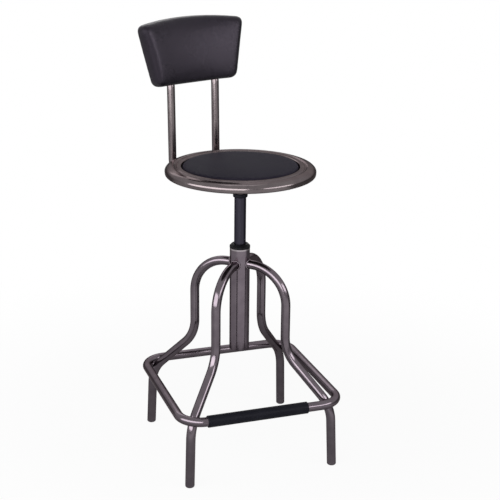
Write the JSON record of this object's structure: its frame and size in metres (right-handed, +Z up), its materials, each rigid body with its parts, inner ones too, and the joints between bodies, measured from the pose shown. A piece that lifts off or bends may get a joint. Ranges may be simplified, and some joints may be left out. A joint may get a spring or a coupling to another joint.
{
  "type": "machinist stool",
  "caption": "Round-seated work stool with a padded low backrest, screw height lift, four bent tube legs and a square footrest ring with a grip sleeve.",
  "frame": {"origin": "on the floor, under the axis of the centre column", "axes": "+Z up; the sitter faces -Y, so the backrest is on the +Y side; +X is to the sitter's left hand as seen in plan with +Y behind"},
  "size_m": [0.4968, 0.4968, 1.0432],
  "materials": {
    "pewter_metal": "gloss",
    "black_metal": "satin",
    "plain_steel": "satin",
    "black_plastic": "matte",
    "black_rubber": "matte",
    "plywood": "matte",
    "foam": "matte",
    "black_vinyl": "satin"
  },
  "bodies": {
    "base": {"column_tube": "pewter_metal", "column_foot_plate": "plain_steel", "column_guide_bush": "black_plastic", "leg_front_left": "pewter_metal", "leg_rear_left": "pewter_metal", "leg_rear_right": "pewter_metal", "leg_front_right": "pewter_metal", "leg_foot_caps": "pewter_metal", "leg_column_welds": "pewter_metal", "leg_ring_welds": "pewter_metal", "footrest_ring": "pewter_metal", "footrest_sleeve": "black_rubber", "lift_screw": "plain_steel", "screw_base_washer": "plain_steel", "screw_base_nut": "plain_steel", "screw_stop_washer": "plain_steel", "screw_stop_bolt": "plain_steel"},
    "lift_carriage": {"post_guide_ring": "black_plastic"},
    "seat": {"seat_post": "black_metal", "lift_nut": "plain_steel", "post_collar": "black_rubber", "seat_hub": "pewter_metal", "seat_mount_plate": "plain_steel", "seat_pan": "pewter_metal", "seat_board": "plywood", "seat_foam": "foam", "seat_cover": "black_vinyl", "seat_board_inserts": "plain_steel", "seat_bolts": "plain_steel", "seat_bolt_washers": "plain_steel", "back_tube_left": "pewter_metal", "back_tube_right": "pewter_metal", "back_tube_plugs": "black_plastic", "back_tube_straps": "plain_steel", "strap_screws": "plain_steel", "back_board": "plywood", "back_foam": "foam", "back_cover": "black_vinyl", "back_screws": "plain_steel"}
  },
  "joints": [
    {"name": "seat_lift", "type": "slide", "parent": "base", "child": "lift_carriage", "axis": [0, 0, 1], "range_m": [-0.0951, 0.0801]},
    {"name": "seat_turn", "type": "hinge", "parent": "lift_carriage", "child": "seat", "pos_m": [0, 0, 0.372], "axis": [0, 0, 1], "range_deg": [-5700, 4800]}
  ],
  "couplings": [
    {"joint": "seat_lift", "follows": "seat_turn", "m_per_rad": 0.00095493}
  ]
}
